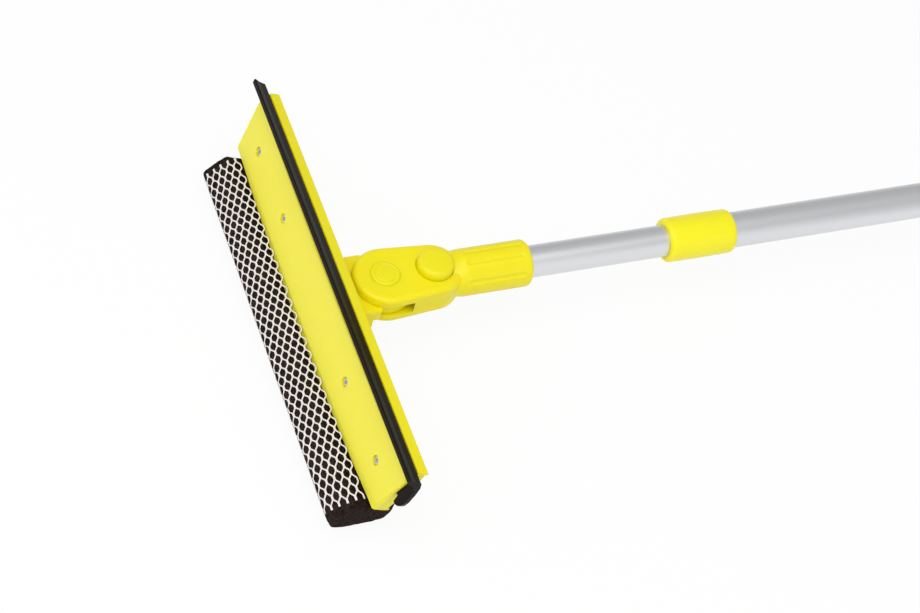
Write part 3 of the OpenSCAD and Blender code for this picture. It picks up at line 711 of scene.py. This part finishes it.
class SCRUBBER_OT_net(bpy.types.Operator):
    """Knits the hexagonal net around the foam"""

    bl_idname = "scrubber.net"
    bl_label = "Sponge net"

    def execute(self, context):
        net = linked("sponge_netting", bpy.data.meshes.new("sponge_netting"))
        thread = knitted_thread("net", tuple(context.scene.scrubber_colours.thread))
        tree = self.knitted(context.scene.scrubber_sizes, thread)
        guide = linked("net_path_guide", net_path())
        net.data = tree.mesh(guide)
        bpy.data.objects.remove(guide)
        moved(net, splayed(context.scene.scrubber_shapes.in_mm().splay))
        stands_for(net, "sponge_net", thread)
        return {"FINISHED"}

    def knitted(self, sizes, thread):
        """Tree that lays one waving strand after another round a path."""
        net = NetTree("knitted_net", {
            "Length": NET_HIGH.y - NET_LOW.y, "Cell pitch": sizes.cell_pitch,
            "Cell flat": sizes.cell_flat, "Row pitch": sizes.row_pitch,
            "Thread radius": sizes.thread_radius, "Thread sides": sizes.thread_sides,
            "Corner radius": 5 * MM, "Bend radius": sizes.bend_radius, "Material": thread})
        path = net.add("GeometryNodeFilletCurve", {"mode": "POLY"}, {
            "Curve": net.size("Geometry"), "Radius": net.size("Corner radius"),
            "Count": 8, "Limit Radius": True})
        rows = net.add("GeometryNodeResampleCurve", {"mode": "LENGTH"}, {
            "Curve": path, "Length": net.size("Row pitch")})
        points = net.add("GeometryNodeCurveToPoints", {"mode": "EVALUATED"}, {"Curve": rows},
                         output="Points")
        strand = self.strand(net)
        ring = net.add("GeometryNodeCurvePrimitiveCircle", {"mode": "RADIUS"}, {
            "Resolution": net.size("Thread sides"), "Radius": net.size("Thread radius")})
        yarn = net.add("GeometryNodeCurveToMesh", None, {
            "Curve": strand, "Profile Curve": ring, "Fill Caps": True})
        facing = net.add("FunctionNodeAxesToRotation", {
            "primary_axis": "X", "secondary_axis": "Y"}, {
            "Primary Axis": (0.0, 1.0, 0.0), "Secondary Axis": points.other("Tangent")})
        placed = net.add("GeometryNodeInstanceOnPoints", None, {
            "Points": points, "Instance": yarn, "Rotation": facing})
        odd_row = net.add("GeometryNodeInputIndex") % 2.0
        turned = net.add("GeometryNodeRotateInstances", None, {
            "Instances": placed, "Local Space": True,
            "Rotation": net.add("ShaderNodeCombineXYZ", None, {"X": odd_row * math.pi})})
        net.finish(net.add("GeometryNodeSetShadeSmooth", None, {"Geometry": turned}))
        return net

    def strand(self, net):
        """One strand: short flats joined by slants, to one side and the other in turn."""
        flat_run = net.size("Cell flat")
        half = net.size("Cell pitch") / 2.0
        flats = (net.size("Length") / half).whole()
        run = (flats - 1.0) * half + flat_run
        line = net.add("GeometryNodeMeshLine", {"mode": "OFFSET"}, {"Count": flats * 2.0})
        index = net.add("GeometryNodeInputIndex")
        flat = ((index + 0.5) / 2.0).whole()
        along = flat * half + index % 2.0 * flat_run - run * 0.5
        side = flat % 2.0 * 2.0 - 1.0
        across = side * (net.size("Row pitch") / 2.0 - net.size("Thread radius") * 0.45)
        wave = net.add("GeometryNodeSetPosition", None, {
            "Geometry": line,
            "Position": net.add("ShaderNodeCombineXYZ", None, {"X": along, "Y": across})})
        return net.add("GeometryNodeFilletCurve", {"mode": "POLY"}, {
            "Curve": net.add("GeometryNodeMeshToCurve", None, {"Mesh": wave}),
            "Radius": net.size("Bend radius"), "Count": 2, "Limit Radius": True})


# ---------------------------------------------------------------- stage

def soft_lamp(name, watts, width, spot):
    """A large square lamp aimed at the swivel."""
    light = bpy.data.lights.new(name, "AREA")
    light.size = width
    light.energy = watts
    lamp = linked(name, light)
    lamp.location = PIVOT + Vector(spot)
    lamp.rotation_euler = (-Vector(spot)).to_track_quat("-Z", "Y").to_euler()


def floor_material():
    """A white floor that keeps a faint shadow of the object."""
    finish = Finish("floor", (0.9, 0.9, 0.9), 0.9)
    seen = finish.add("ShaderNodeLightPath", output="Is Camera Ray")
    mirrored, through = seen.other("Is Glossy Ray"), seen.other("Is Transmission Ray")
    share = (seen * 1.14 + mirrored * 0.8 + through).clamped(0.0, 1.14) * 0.92
    glow = finish.add("ShaderNodeEmission", None, {"Color": (1.0, 1.0, 1.0, 1.0), "Strength": 1.0})
    plain = Signal(finish, finish.shader.outputs["BSDF"])
    mix = finish.add("ShaderNodeMixShader", None, {0: share, 1: plain, 2: glow})
    finish.feed(finish.first("OUTPUT_MATERIAL").inputs["Surface"], mix)
    return finish.material


def white_sky(strength):
    """An even white world that is pure white where the camera sees it."""
    world = bpy.data.worlds.new("white_sky")
    world.use_nodes = True
    nodes = Nodes(world.node_tree)
    seen = nodes.add("ShaderNodeLightPath", output="Is Camera Ray")
    shown = (seen + seen.other("Is Transmission Ray")).clamped(0.0, 1.0)
    sky = nodes.first("BACKGROUND")
    nodes.feed(sky.inputs["Color"], (1.0, 1.0, 1.0, 1.0))
    nodes.feed(sky.inputs["Strength"], shown * (1.0 - strength) + strength)
    return world


def floor():
    """A floor far wider than the object."""
    reach = 6.0
    mesh = bpy.data.meshes.new("floor")
    mesh.from_pydata([(-reach, -reach, 0), (reach, -reach, 0), (reach, reach, 0),
                      (-reach, reach, 0)], [], [(0, 1, 2, 3)])
    mesh.materials.append(floor_material())
    return linked("floor", mesh)


def camera(stage):
    """A camera on a sphere around the point it looks at."""
    lens = bpy.data.cameras.new("camera")
    lens.lens = stage.focal
    lens.sensor_width = 36.0
    piece = linked("camera", lens)
    turn = (Matrix.Rotation(stage.azimuth, 4, "Z")
            @ Matrix.Rotation(math.pi / 2 - stage.elevation, 4, "X"))
    eye = PIVOT + Vector(stage.aim) + turn @ Vector((0.0, 0.0, stage.distance))
    piece.matrix_world = Matrix.Translation(eye) @ turn @ Matrix.Rotation(stage.roll, 4, "Z")
    return piece


class SCRUBBER_OT_stage(bpy.types.Operator):
    """Sets the floor, the lamps, the sky and the camera"""

    bl_idname = "scrubber.stage"
    bl_label = "Stage"

    def execute(self, context):
        scene = context.scene
        stage = scene.scrubber_stage
        floor()
        soft_lamp("key_lamp", stage.key, 1.5, (-0.35, -0.45, 1.4))
        soft_lamp("side_lamp", stage.side, 1.2, (0.5, -1.4, 0.35))
        soft_lamp("fill_lamp", stage.fill, 1.0, (-1.2, 0.4, 0.6))
        scene.world = white_sky(stage.sky)
        scene.view_settings.view_transform = "Standard"
        scene.camera = camera(stage)
        return {"FINISHED"}


class SCRUBBER_PT_panel(bpy.types.Panel):
    """Lists the steps that dress the scrubber"""

    bl_idname = "SCRUBBER_PT_panel"
    bl_label = "Window scrubber"
    bl_space_type = "VIEW_3D"
    bl_region_type = "UI"
    bl_category = "Scrubber"

    def draw(self, context):
        for step in STEPS:
            self.layout.operator(step.bl_idname)


STEPS = (SCRUBBER_OT_moulded_parts, SCRUBBER_OT_metal_parts, SCRUBBER_OT_rubber_parts,
         SCRUBBER_OT_foam, SCRUBBER_OT_net, SCRUBBER_OT_stage)
GROUPS = (("scrubber_sizes", ScrubberSizes), ("scrubber_shapes", ScrubberShapes),
          ("scrubber_colours", ScrubberColours), ("scrubber_stage", ScrubberStage))


def register():
    for name, group in GROUPS:
        bpy.utils.register_class(group)
        setattr(bpy.types.Scene, name, PointerProperty(type=group))
    for part in (*STEPS, SCRUBBER_PT_panel):
        bpy.utils.register_class(part)


def unregister():
    for part in reversed((*STEPS, SCRUBBER_PT_panel)):
        bpy.utils.unregister_class(part)
    for name, group in reversed(GROUPS):
        delattr(bpy.types.Scene, name)
        bpy.utils.unregister_class(group)


def main():
    register()
    bpy.ops.scrubber.moulded_parts()
    bpy.ops.scrubber.metal_parts()
    bpy.ops.scrubber.rubber_parts()
    bpy.ops.scrubber.foam()
    bpy.ops.scrubber.net()
    bpy.ops.scrubber.stage()


if __name__ == "__main__":
    main()
